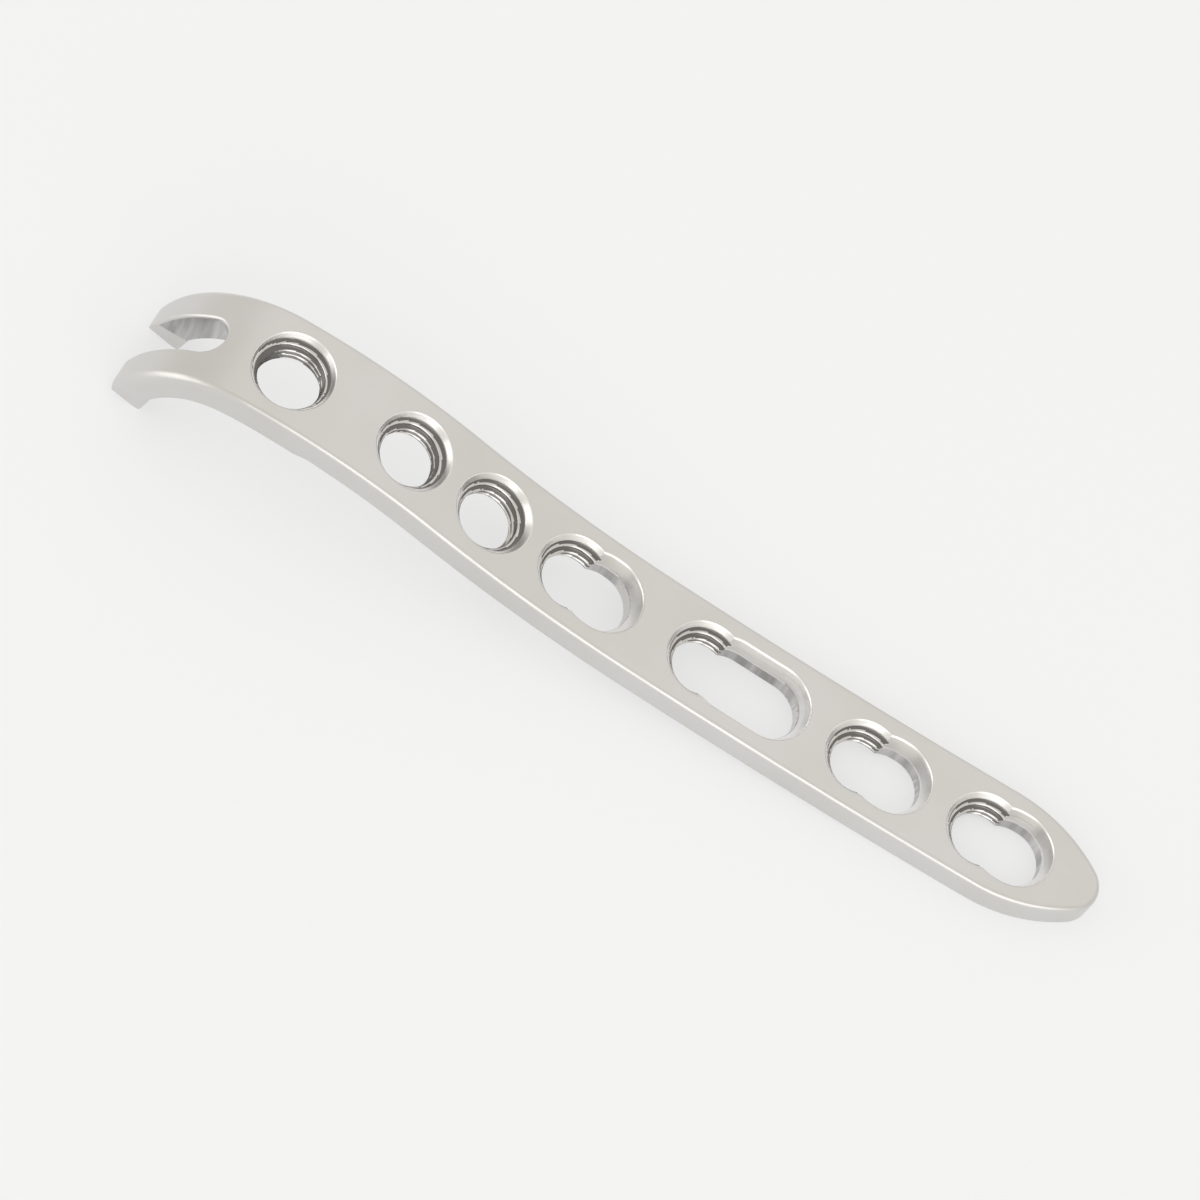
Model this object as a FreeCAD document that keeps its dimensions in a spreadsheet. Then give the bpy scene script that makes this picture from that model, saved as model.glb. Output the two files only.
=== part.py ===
import FreeCAD, Part
import math
import os
import Sketcher
from FreeCAD import Placement, Rotation, Vector

# Hooked bone plate: one piece of steel, lying as it comes to rest, on the underside of its
# shaft and on the teeth of its two hooks. X runs along the plate with the hooks at -X and the
# rounded end of the shaft at +X, Y across it, Z up. The origin is on the resting surface,
# under the middle of the plate. Every size is in millimetres and every station is a distance
# from the tip of the shaft towards the hooks.

# Driving dimensions
SIZES = [
    ("overall_length", 101.55),
    ("plate_width", 11.25),
    ("plate_thickness", 2.9),
    ("head_thickness", 3.25),
    ("shaft_radius", 476.0),
    ("flare_radius", 120.0),
    ("crest_radius", 66.0),
    ("hook_radius", 12.9),
    ("hook_wrap", 76.2),
    ("inner_wrap", 65.0),
    ("tooth_length", 2.4),
    ("flat_end", 8.137),
    ("flare_station", 47.6),
    ("crest_station", 70.0),
    ("step_station", 82.6),
    ("step_run", 1.2),
    ("nose_radius", 3.0),
    ("flank_radius", 16.0),
    ("slot_width", 4.1),
    ("slot_station", 94.1),
    ("tooth_width", 2.4),
    ("tooth_bevel", 3.0),
    ("edge_radius", 0.5),
    ("slot_edge_radius", 0.3),
    ("end_hole_station", 12.0),
    ("combi_pitch", 13.0),
    ("long_hole_station", 42.1),
    ("neck_hole_station", 56.3),
    ("pair_station", 65.5),
    ("pair_pitch", 9.0),
    ("crest_hole_station", 87.5),
    ("mouth_depth", 1.65),
    ("thread_bore", 5.5),
    ("thread_mouth", 7.75),
    ("crest_bore", 6.0),
    ("crest_mouth", 8.1),
    ("exit_chamfer", 0.2),
    ("ramp_width", 7.75),
    ("ramp_depth", 1.4),
    ("glide_width", 6.4),
    ("lobe_offset", 2.7),
    ("combi_travel", 0.4),
    ("long_travel", 4.4),
]

# How far cutting profiles run past the metal, a clearance and not a size of the plate
OVERRUN = 2.0

# How high above the top face the ramp of a sliding lobe starts, so that the hollow face is cleared
LIFT = 0.5

# How far the bevels of the teeth are cut past the hooks' sides
TOOTH_MARGIN = 1.0

# How near to a face a point counts as lying on it
TOUCH = 0.01

# How many points of an edge are tried, besides its first
EDGE_STEPS = 4

# The angle a leaning sketch starts from, before its expression sets it
FIRST_TILT = 5.0

doc = FreeCAD.newDocument("bone_plate")
sheet = doc.addObject("Spreadsheet::Sheet", "sizes")
for row, (alias, value) in enumerate(SIZES, start=1):
    sheet.set("A%d" % row, alias)
    sheet.set("B%d" % row, str(value))
    sheet.setAlias("B%d" % row, alias)
doc.recompute()


def size(alias):
    """The value of a cell of the sheet."""
    return float(getattr(sheet, alias))


def sketch_on(body, name, role):
    """An empty sketch on one of the body's own origin planes."""
    sketch = body.newObject("Sketcher::SketchObject", name)
    plane = [feature for feature in body.Origin.OriginFeatures if feature.Role == role][0]
    sketch.AttachmentSupport = [(plane, "")]
    sketch.MapMode = "FlatFace"
    return sketch


def end_at(sketch, geometry, point):
    """1 for the start and 2 for the end of a line or arc, whichever is at the point."""
    start = sketch.getPoint(geometry, 1)
    end = sketch.getPoint(geometry, 2)
    return 1 if (start - point).Length < (end - point).Length else 2


def join(sketch, kind, first, second, point):
    """Joins two ends at a point, as a corner (Coincident) or smoothly (Tangent)."""
    sketch.addConstraint(Sketcher.Constraint(
        kind, first, end_at(sketch, first, point), second, end_at(sketch, second, point)))


def driven(sketch, expression, *constraint):
    """A dimension whose value comes from the sheet."""
    index = sketch.addConstraint(Sketcher.Constraint(*constraint))
    sketch.setExpression("Constraints[%d]" % index, expression)


def apart(sketch, kind, first, second, expression):
    """The distance along one axis from one sketch point to another that lies beyond it."""
    gap = sketch.getPoint(*second) - sketch.getPoint(*first)
    value = gap.x if kind == "DistanceX" else gap.y
    driven(sketch, expression, kind, *first, *second, value)


def measured(sketch, name, kind, first, second):
    """A named reference dimension, which later features read."""
    gap = sketch.getPoint(*second) - sketch.getPoint(*first)
    value = gap.x if kind == "DistanceX" else gap.y
    index = sketch.addConstraint(Sketcher.Constraint(kind, *first, *second, value))
    sketch.setDriving(index, False)
    sketch.renameConstraint(index, name)


def corner(sketch, geometry, end, across=None, up=None):
    """Places a sketch point by its distances from the sketch's axes."""
    origin = (-1, 1)
    point = sketch.getPoint(geometry, end)
    for kind, value, expression in (("DistanceX", point.x, across), ("DistanceY", point.y, up)):
        if expression is None:
            continue
        pair = (origin, (geometry, end)) if value > 0 else ((geometry, end), origin)
        apart(sketch, kind, *pair, expression)


def on_axis(sketch, geometry, end, axis):
    """Puts a sketch point on the horizontal (-1) or vertical (-2) axis."""
    sketch.addConstraint(Sketcher.Constraint("PointOnObject", geometry, end, axis))


def outline(sketch, points):
    """A closed outline of straight lines through rough points, and its first line's number."""
    first = sketch.GeometryCount
    ends = points[1:] + points[:1]
    pairs = zip(points, ends)
    sketch.addGeometry([Part.LineSegment(Vector(*a, 0), Vector(*b, 0)) for a, b in pairs])
    for step in range(len(points)):
        follower = first + (step + 1) % len(points)
        sketch.addConstraint(Sketcher.Constraint("Coincident", first + step, 2, follower, 1))
    return first


def arc_between(centre, radius, first, second):
    """The short arc about a centre from one point to another."""
    middle = (first + second) * 0.5 - centre
    middle.normalize()
    return Part.Arc(first, centre + middle * radius, second)


class SideView:
    """Joints and centres of the side view's arcs, in X and Z, from the flat end of the shaft."""

    def __init__(self):
        self.half = size("overall_length") / 2
        shaft, flare = size("shaft_radius"), size("flare_radius")
        crest, hook = size("crest_radius"), size("hook_radius")
        thick = size("plate_thickness")
        self.flat_joint = Vector(self.half - size("flat_end"), thick, 0)
        self.shaft_centre = self.flat_joint + Vector(0, shaft, 0)
        self.flare_joint, up = self.reach(self.shaft_centre, shaft, "flare_station")
        self.flare_centre = self.flare_joint + up * flare
        self.crest_joint, up = self.reach(self.flare_centre, flare, "crest_station")
        self.crest_centre = self.crest_joint - up * crest
        wrap = math.radians(size("hook_wrap"))
        lean = (self.crest_centre.x + self.half - hook * math.sin(wrap)) / (crest - hook)
        up = Vector(-lean, math.sqrt(1 - lean * lean), 0)
        self.hook_centre = self.crest_centre + up * (crest - hook)
        self.hook_joint = self.hook_centre + up * hook
        out = Vector(-math.sin(wrap), math.cos(wrap), 0)
        bend = math.radians(size("inner_wrap"))
        inner_out = Vector(-math.sin(bend), math.cos(bend), 0)
        inner = hook - size("head_thickness")
        self.inner_joint = self.hook_centre + up * inner
        self.hook_end = self.hook_centre + out * hook
        self.inner_end = self.hook_centre + inner_out * inner
        along = Vector(-math.cos(bend), -math.sin(bend), 0)
        self.tooth = self.inner_end + along * size("tooth_length")

    def reach(self, centre, radius, station):
        """Where a hollow arc meets a station, and the direction from there to its centre."""
        across = centre.x - (self.half - size(station))
        up = Vector(across, math.sqrt(radius * radius - across * across), 0)
        return centre - up, up * (1 / radius)

    def under(self, point, centre, depth):
        """The point below a point of the top face, square to its arc."""
        inward = centre - point
        inward.normalize()
        return point + inward * (-depth if centre.y > point.y else depth)

    def under_crest(self, x, depth):
        """The point at an x on the crest's arc, lowered by a depth."""
        radius = size("crest_radius") - depth
        rise = math.sqrt(radius * radius - (x - self.crest_centre.x) ** 2)
        return Vector(x, self.crest_centre.y + rise, 0)

    def on_top(self, point):
        """Whether a point of the solid, seen from the side, lies on the top face."""
        flat = Vector(point.x, point.z, 0)
        if abs(flat.y - self.flat_joint.y) < TOUCH and flat.x > self.flat_joint.x - TOUCH:
            return True
        arcs = ((self.shaft_centre, "shaft_radius", self.flare_joint.x, self.flat_joint.x),
                (self.flare_centre, "flare_radius", self.crest_joint.x, self.flare_joint.x),
                (self.crest_centre, "crest_radius", self.hook_joint.x, self.crest_joint.x),
                (self.hook_centre, "hook_radius", -self.half, self.hook_joint.x))
        for centre, radius, low, high in arcs:
            near = abs((flat - centre).Length - size(radius)) < TOUCH
            if near and low - TOUCH < flat.x < high + TOUCH:
                return True
        return False


def draw_side_view(body, view):
    """The plate from the side: top face, hook, tooth, underside with the head's step, end."""
    sketch = sketch_on(body, "side_view", "XZ_Plane")
    shaft, flare = size("shaft_radius"), size("flare_radius")
    crest, hook = size("crest_radius"), size("hook_radius")
    thin, thick = size("plate_thickness"), size("head_thickness")
    step_x = view.half - size("step_station")
    drop = Vector(0, thin, 0)
    top_tip = Vector(view.half, thin, 0)
    corners = [
        top_tip, view.flat_joint, view.flare_joint, view.crest_joint, view.hook_joint,
        view.hook_end, view.tooth, view.inner_end, view.inner_joint,
        view.under_crest(step_x - size("step_run"), thick), view.under_crest(step_x, thin),
        view.under(view.crest_joint, view.crest_centre, thin),
        view.under(view.flare_joint, view.shaft_centre, thin),
        view.flat_joint - drop, top_tip - drop]
    sketch.addGeometry([
        Part.LineSegment(corners[0], corners[1]),
        arc_between(view.shaft_centre, shaft, corners[1], corners[2]),
        arc_between(view.flare_centre, flare, corners[2], corners[3]),
        arc_between(view.crest_centre, crest, corners[3], corners[4]),
        arc_between(view.hook_centre, hook, corners[4], corners[5]),
        Part.LineSegment(corners[5], corners[6]),
        Part.LineSegment(corners[6], corners[7]),
        arc_between(view.hook_centre, hook - thick, corners[7], corners[8]),
        arc_between(view.crest_centre, crest - thick, corners[8], corners[9]),
        Part.LineSegment(corners[9], corners[10]),
        arc_between(view.crest_centre, crest - thin, corners[10], corners[11]),
        arc_between(view.flare_centre, flare + thin, corners[11], corners[12]),
        arc_between(view.shaft_centre, shaft + thin, corners[12], corners[13]),
        Part.LineSegment(corners[13], corners[14]),
        Part.LineSegment(corners[14], corners[0])])
    flat_top, top, flare_top, crest_top, hook_top, face, tooth, hook_in, crest_in, step = range(10)
    crest_low, flare_low, low, flat_low, end = range(10, 15)
    smooth = (flat_top, top, flare_top, crest_top, tooth, hook_in, crest_low, flare_low, low)
    for piece in range(len(corners)):
        follower = (piece + 1) % len(corners)
        kind = "Tangent" if piece in smooth else "Coincident"
        join(sketch, kind, piece, follower, corners[follower])
    for outer, inner in ((top, low), (flare_top, flare_low), (crest_top, crest_low),
                         (crest_top, crest_in), (hook_top, hook_in)):
        sketch.addConstraint(Sketcher.Constraint("Coincident", outer, 3, inner, 3))
    driven(sketch, "sizes.shaft_radius", "Radius", top, shaft)
    driven(sketch, "sizes.flare_radius", "Radius", flare_top, flare)
    driven(sketch, "sizes.crest_radius", "Radius", crest_top, crest)
    driven(sketch, "sizes.hook_radius", "Radius", hook_top, hook)
    driven(sketch, "sizes.hook_radius - sizes.head_thickness", "Radius", hook_in, hook - thick)
    driven(sketch, "sizes.tooth_length", "Distance", tooth, size("tooth_length"))
    # The two sides of the hook's bend end at their own angles from the vertical
    outer_end = (hook_top, end_at(sketch, hook_top, view.hook_end))
    inner_end = (hook_in, end_at(sketch, hook_in, view.inner_end))
    apart(sketch, "DistanceX", outer_end, (hook_top, 3), "sizes.hook_radius * sin(sizes.hook_wrap)")
    apart(sketch, "DistanceX", inner_end, (hook_top, 3),
          "(sizes.hook_radius - sizes.head_thickness) * sin(sizes.inner_wrap)")
    # The flat end of the underside lies on the resting surface, and so do the teeth
    on_axis(sketch, flat_low, 1, -1)
    tip = (end, end_at(sketch, end, top_tip))
    corner(sketch, *tip, "sizes.overall_length / 2", "sizes.plate_thickness")
    sketch.addConstraint(Sketcher.Constraint("Horizontal", flat_top))
    sketch.addConstraint(Sketcher.Constraint("Horizontal", flat_low))
    sketch.addConstraint(Sketcher.Constraint("Vertical", end))
    for piece, point, station in ((top, view.flat_joint, "flat_end"),
                                  (flare_top, view.flare_joint, "flare_station"),
                                  (crest_top, view.crest_joint, "crest_station"),
                                  (step, corners[10], "step_station")):
        apart(sketch, "DistanceX", (piece, end_at(sketch, piece, point)), tip, "sizes." + station)
    apart(sketch, "DistanceX", (step, end_at(sketch, step, corners[9])),
          (step, end_at(sketch, step, corners[10])), "sizes.step_run")
    corner(sketch, *outer_end, across="sizes.overall_length / 2")
    measured(sketch, "shaft_x", "DistanceX", (-1, 1), (top, 3))
    measured(sketch, "flare_x", "DistanceX", (-1, 1), (flare_top, 3))
    measured(sketch, "flare_z", "DistanceY", (-1, 1), (flare_top, 3))
    measured(sketch, "crest_x", "DistanceX", (crest_top, 3), (-1, 1))
    measured(sketch, "crest_z", "DistanceY", (crest_top, 3), (-1, 1))
    return sketch


def add_plate_blank(body, view):
    """The side view carried across the plate's width."""
    blank = body.newObject("PartDesign::Pad", "blank")
    blank.Profile = draw_side_view(body, view)
    blank.SideType = "Symmetric"
    blank.setExpression("Length", "sizes.plate_width")
    return blank


def trim_to_plan(body):
    """Rounds the end of the shaft to its pointed arch in plan, by cutting off what lies outside."""
    sketch = sketch_on(body, "plan", "XY_Plane")
    half, wide = size("overall_length") / 2, size("plate_width") / 2
    nose, flank = size("nose_radius"), size("flank_radius")
    nose_centre = Vector(half - nose, 0, 0)
    back = math.sqrt((flank - nose) ** 2 - (flank - wide) ** 2)
    far_x = half + OVERRUN
    touches, shoulders, centres = [], [], []
    for side in (1, -1):
        centre = Vector(nose_centre.x - back, side * (wide - flank), 0)
        reach = nose_centre - centre
        reach.normalize()
        centres.append(centre)
        touches.append(centre + reach * flank)
        shoulders.append(Vector(centre.x, side * wide, 0))
    margin = Vector(0, OVERRUN, 0)
    corners = [
        shoulders[1], touches[1], touches[0], shoulders[0], shoulders[0] + margin,
        Vector(far_x, wide + OVERRUN, 0), Vector(far_x, -wide - OVERRUN, 0), shoulders[1] - margin]
    sketch.addGeometry([
        arc_between(centres[1], flank, corners[0], corners[1]),
        Part.Arc(corners[1], Vector(half, 0, 0), corners[2]),
        arc_between(centres[0], flank, corners[2], corners[3]),
        Part.LineSegment(corners[3], corners[4]),
        Part.LineSegment(corners[4], corners[5]),
        Part.LineSegment(corners[5], corners[6]),
        Part.LineSegment(corners[6], corners[7]),
        Part.LineSegment(corners[7], corners[0])])
    low_flank, tip, up_flank, up_wall, up_edge, far_wall, low_edge, low_wall = range(8)
    for piece in range(len(corners)):
        follower = (piece + 1) % len(corners)
        kind = "Tangent" if piece in (low_flank, tip) else "Coincident"
        join(sketch, kind, piece, follower, corners[follower])
    on_axis(sketch, tip, 3, -1)
    corner(sketch, tip, 3, across="sizes.overall_length / 2 - sizes.nose_radius")
    driven(sketch, "sizes.nose_radius", "Radius", tip, nose)
    # Each flank starts square on the plate's side, so it meets the side smoothly
    for piece, wall, edge, point in ((up_flank, up_wall, up_edge, corners[3]),
                                     (low_flank, low_wall, low_edge, corners[0])):
        driven(sketch, "sizes.flank_radius", "Radius", piece, flank)
        shoulder = end_at(sketch, piece, point)
        corner(sketch, piece, shoulder, up="sizes.plate_width / 2")
        sketch.addConstraint(Sketcher.Constraint("Vertical", piece, shoulder, piece, 3))
        sketch.addConstraint(Sketcher.Constraint("Vertical", wall))
        sketch.addConstraint(Sketcher.Constraint("Horizontal", edge))
    sketch.addConstraint(Sketcher.Constraint("Vertical", far_wall))
    corner(sketch, far_wall, 1, "sizes.overall_length / 2 + %g" % OVERRUN,
           "sizes.plate_width / 2 + %g" % OVERRUN)
    corner(sketch, far_wall, 2, up="sizes.plate_width / 2 + %g" % OVERRUN)
    return cut_through(body, sketch, "plan_trim")


def cut_through(body, sketch, name):
    """Cuts a sketch's outline through the plate, both ways from its plane."""
    pocket = body.newObject("PartDesign::Pocket", name)
    pocket.Profile = sketch
    pocket.Type = "ThroughAll"
    pocket.SideType = "Symmetric"
    return pocket


def cut_hook_slot(body):
    """The slot that parts the two hooks, round at its closed end."""
    sketch = sketch_on(body, "slot", "XY_Plane")
    half, radius = size("overall_length") / 2, size("slot_width") / 2
    centre_x = half - size("slot_station") - radius
    far_x = -half - OVERRUN
    corners = [Vector(centre_x, -radius, 0), Vector(centre_x, radius, 0),
               Vector(far_x, radius, 0), Vector(far_x, -radius, 0)]
    sketch.addGeometry([
        Part.Arc(corners[0], Vector(centre_x + radius, 0, 0), corners[1]),
        Part.LineSegment(corners[1], corners[2]),
        Part.LineSegment(corners[2], corners[3]),
        Part.LineSegment(corners[3], corners[0])])
    for piece, kind in enumerate(("Tangent", "Coincident", "Coincident", "Tangent")):
        follower = (piece + 1) % 4
        join(sketch, kind, piece, follower, corners[follower])
    on_axis(sketch, 0, 3, -1)
    corner(sketch, 0, 3, "sizes.slot_station + sizes.slot_width / 2 - sizes.overall_length / 2")
    driven(sketch, "sizes.slot_width / 2", "Radius", 0, radius)
    sketch.addConstraint(Sketcher.Constraint("Horizontal", 1))
    sketch.addConstraint(Sketcher.Constraint("Horizontal", 3))
    sketch.addConstraint(Sketcher.Constraint("Vertical", 2))
    corner(sketch, 2, 1, "sizes.overall_length / 2 + %g" % OVERRUN)
    return cut_through(body, sketch, "hook_slot")


def point_the_teeth(body):
    """Bevels both sides of each hook's end, seen from the front, so that it ends in a tooth."""
    sketch = sketch_on(body, "tooth_bevels", "YZ_Plane")
    sketch.setExpression("AttachmentOffset.Base.z",
                         "(sizes.hook_radius / 2 - sizes.overall_length / 2) * 1mm")
    middle = "(sizes.plate_width + sizes.slot_width) / 4"
    outer = ("sizes.plate_width / 2", middle + " + sizes.tooth_width / 2", "+", 5.5, 4.8)
    inner = ("sizes.slot_width / 2", middle + " - sizes.tooth_width / 2", "-", 2.0, 2.6)
    for wall, tooth, sign, rough_wall, rough_tooth in (outer, inner):
        far = "%s %s %g" % (wall, sign, TOOTH_MARGIN)
        rough_far = rough_wall + (TOOTH_MARGIN if sign == "+" else -TOOTH_MARGIN)
        for side in (1, -1):
            first = outline(sketch, [
                (side * rough_wall, 3), (side * rough_tooth, 0.1), (side * rough_tooth, -1),
                (side * rough_far, -1), (side * rough_far, 3)])
            corner(sketch, first, 1, wall, "sizes.tooth_bevel")
            corner(sketch, first + 1, 1, tooth)
            on_axis(sketch, first + 1, 1, -1)
            corner(sketch, first + 2, 1, tooth, "%g" % TOOTH_MARGIN)
            corner(sketch, first + 3, 1, far, "%g" % TOOTH_MARGIN)
            corner(sketch, first + 4, 1, far, "sizes.tooth_bevel")
    pocket = body.newObject("PartDesign::Pocket", "tooth_points")
    pocket.Profile = sketch
    pocket.Type = "ThroughAll"
    return pocket


def round_top_edges(body, view, feature, name, radius, reach):
    """Rounds the lengthwise edges of the top face within a distance of the plate's middle line."""
    names = []
    for number, edge in enumerate(body.Shape.Edges, start=1):
        first, last = edge.ParameterRange
        span = (last - first) / EDGE_STEPS
        points = [edge.valueAt(first + span * step) for step in range(EDGE_STEPS + 1)]
        crosses = isinstance(edge.Curve, Part.Line) and abs(edge.Curve.Direction.y) > 0.99
        if crosses or not all(view.on_top(point) for point in points):
            continue
        if all(abs(point.y) < reach + TOUCH for point in points):
            names.append("Edge%d" % number)
    fillet = body.newObject("PartDesign::Fillet", name)
    fillet.Base = (feature, names)
    fillet.setExpression("Radius", radius)
    return fillet


def arc_under(station):
    """Expressions for the top face's arc at a station: centre, radius, and which way it bends."""
    if station < size("flare_station"):
        return ("side_view.Constraints.shaft_x / 1mm",
                "(sizes.shaft_radius + sizes.plate_thickness)", "sizes.shaft_radius", -1)
    if station < size("crest_station"):
        return ("side_view.Constraints.flare_x / 1mm", "side_view.Constraints.flare_z / 1mm",
                "sizes.flare_radius", -1)
    return ("-side_view.Constraints.crest_x / 1mm", "-side_view.Constraints.crest_z / 1mm",
            "sizes.crest_radius", 1)


def stand_on_top(sketch, role, station, expression, lift=0.0):
    """Moves a sketch to a station of the top face and leans it square to the face there."""
    centre_x, centre_z, radius, bend = arc_under(station)
    here = "(sizes.overall_length / 2 - (%s))" % expression
    across = "(%s * (%s - (%s)))" % (bend, here, centre_x)
    tilt = "asin(%s / %s)" % (across, radius)
    rise = "(%s + %d * sqrt(%s ^ 2 - %s ^ 2))" % (centre_z, bend, radius, across)
    flat = role == "XY_Plane"
    turn = Vector(0, 1, 0) if flat else Vector(0, 0, -1)
    sketch.AttachmentOffset = Placement(Vector(0, 0, 0), Rotation(turn, FIRST_TILT))
    up = "z" if flat else "y"
    sketch.setExpression("AttachmentOffset.Base.x",
                         "(%s + %g * sin(%s)) * 1mm" % (here, lift, tilt))
    sketch.setExpression("AttachmentOffset.Base." + up,
                         "(%s + %g * cos(%s)) * 1mm" % (rise, lift, tilt))
    sketch.setExpression("AttachmentOffset.Rotation.Angle", tilt)


def cut_screw_hole(body, name, station, expression, bore, mouth, wall):
    """A round hole square to the top face: a countersunk mouth, a bore and a broken lower edge."""
    sketch = sketch_on(body, name + "_profile", "XZ_Plane")
    stand_on_top(sketch, "XZ_Plane", station, expression)
    first = outline(sketch, [(0, 2), (5.7, 2), (2.7, -1), (2.7, -3), (5, -5.3), (0, -5.3)])
    on_axis(sketch, first, 1, -2)
    corner(sketch, first, 1, up="%g" % OVERRUN)
    # The mouth's cone is drawn on above the face, with the same slope
    widening = "%g * (%s - %s) / 2 / sizes.mouth_depth" % (OVERRUN, mouth, bore)
    corner(sketch, first + 1, 1, "%s / 2 + %s" % (mouth, widening), "%g" % OVERRUN)
    corner(sketch, first + 2, 1, bore + " / 2", "sizes.mouth_depth")
    corner(sketch, first + 3, 1, bore + " / 2", wall + " - sizes.exit_chamfer")
    corner(sketch, first + 4, 1, "%s / 2 + sizes.exit_chamfer + %g" % (bore, OVERRUN),
           "%s + %g" % (wall, OVERRUN))
    on_axis(sketch, first + 5, 1, -2)
    corner(sketch, first + 5, 1, up="%s + %g" % (wall, OVERRUN))
    groove = body.newObject("PartDesign::Groove", name)
    groove.Profile = sketch
    groove.ReferenceAxis = (sketch, ["V_Axis"])
    groove.Angle = 360
    return groove


def lobe_outline(sketch, width, travel):
    """A slot's outline along the plate, centred on the sketch's origin."""
    # Rough sizes, which the dimensions below set right
    reach, radius = 1.0, 3.0
    right, left = Vector(reach, 0, 0), Vector(-reach, 0, 0)
    up, down = Vector(0, radius, 0), Vector(0, -radius, 0)
    sketch.addGeometry([
        Part.Arc(right + down, Vector(reach + radius, 0, 0), right + up),
        Part.LineSegment(right + up, left + up),
        Part.Arc(left + up, Vector(-reach - radius, 0, 0), left + down),
        Part.LineSegment(left + down, right + down)])
    joints = (right + up, left + up, left + down, right + down)
    for piece, point in enumerate(joints):
        join(sketch, "Tangent", piece, (piece + 1) % 4, point)
    for piece in (0, 2):
        on_axis(sketch, piece, 3, -1)
        corner(sketch, piece, 3, "%s / 2" % travel)
    driven(sketch, width, "Radius", 0, radius)
    sketch.addConstraint(Sketcher.Constraint("Equal", 0, 2))


def cut_sliding_lobe(body, name, station, expression, travel):
    """The smooth lobe of a combination hole: a straight-walled slot under a sloping ramp."""
    glide = sketch_on(body, name + "_glide_outline", "XY_Plane")
    stand_on_top(glide, "XY_Plane", station, expression)
    lobe_outline(glide, "sizes.glide_width / 2", travel)
    cut_through(body, glide, name + "_glide")
    ramp = sketch_on(body, name + "_ramp_outline", "XY_Plane")
    stand_on_top(ramp, "XY_Plane", station, expression, LIFT)
    slope = "(sizes.ramp_width - sizes.glide_width) / 2 / sizes.ramp_depth"
    lobe_outline(ramp, "sizes.ramp_width / 2 + %g * %s" % (LIFT, slope), travel)
    pocket = body.newObject("PartDesign::Pocket", name + "_ramp")
    pocket.Profile = ramp
    pocket.Type = "Length"
    pocket.setExpression("Length", "sizes.ramp_depth + %g" % LIFT)
    pocket.setExpression("TaperAngle", "-atan(%s)" % slope)
    return pocket


def cut_combination_hole(body, name, station, expression, travel):
    """A threaded lobe towards the hooks that runs into a sliding lobe towards the shaft's tip."""
    cut_screw_hole(body, name + "_lock", station, expression,
                   "sizes.thread_bore", "sizes.thread_mouth", "sizes.plate_thickness")
    doc.recompute()
    back = size("lobe_offset") + size(travel) / 2
    centre = "%s - sizes.lobe_offset - sizes.%s / 2" % (expression, travel)
    cut_sliding_lobe(body, name, station - back, centre, "sizes." + travel)
    doc.recompute()


def check_everything():
    """Stops before anything is written if a step of the model has failed."""
    for item in doc.Objects:
        if "Invalid" in item.State or "Error" in item.State:
            raise RuntimeError("%s did not compute: %s" % (item.Name, item.State))
        if item.TypeId == "Sketcher::SketchObject" and not item.FullyConstrained:
            raise RuntimeError("%s is not fully constrained" % item.Name)
        shape = getattr(item, "Shape", None)
        if shape is not None and (shape.isNull() or not shape.isValid()):
            raise RuntimeError("%s has no valid shape" % item.Name)
    if len(body.Shape.Solids) != 1:
        raise RuntimeError("the plate is not one solid")


# The plate itself: side view, plan, rounded rim, and the two hooks with their teeth
body = doc.addObject("PartDesign::Body", "hook_plate")
body.Label = "hook_plate"
view = SideView()
add_plate_blank(body, view)
doc.recompute()
trimmed = trim_to_plan(body)
doc.recompute()
round_top_edges(body, view, trimmed, "rim", "sizes.edge_radius", size("plate_width") / 2)
doc.recompute()
slotted = cut_hook_slot(body)
doc.recompute()
round_top_edges(body, view, slotted, "slot_rim", "sizes.slot_edge_radius", size("slot_width") / 2)
doc.recompute()
point_the_teeth(body)
doc.recompute()

# Three locking holes: the wide one on the crest and the close pair behind it
cut_screw_hole(body, "crest_hole", size("crest_hole_station"), "sizes.crest_hole_station",
               "sizes.crest_bore", "sizes.crest_mouth", "sizes.head_thickness")
doc.recompute()
cut_screw_hole(body, "upper_pair_hole", size("pair_station") + size("pair_pitch"),
               "sizes.pair_station + sizes.pair_pitch",
               "sizes.thread_bore", "sizes.thread_mouth", "sizes.plate_thickness")
doc.recompute()
cut_screw_hole(body, "lower_pair_hole", size("pair_station"), "sizes.pair_station",
               "sizes.thread_bore", "sizes.thread_mouth", "sizes.plate_thickness")
doc.recompute()

# Four combination holes down the shaft, the second of them long
cut_combination_hole(body, "neck_hole", size("neck_hole_station"),
                     "sizes.neck_hole_station", "combi_travel")
cut_combination_hole(body, "long_hole", size("long_hole_station"),
                     "sizes.long_hole_station", "long_travel")
cut_combination_hole(body, "shaft_hole", size("end_hole_station") + size("combi_pitch"),
                     "sizes.end_hole_station + sizes.combi_pitch", "combi_travel")
cut_combination_hole(body, "end_hole", size("end_hole_station"),
                     "sizes.end_hole_station", "combi_travel")

check_everything()
os.makedirs("parts", exist_ok=True)
body.Shape.exportStep("parts/hook_plate.step")
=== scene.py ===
import math

import bmesh
import bpy
import numpy as np
from mathutils import Matrix, Vector


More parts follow.
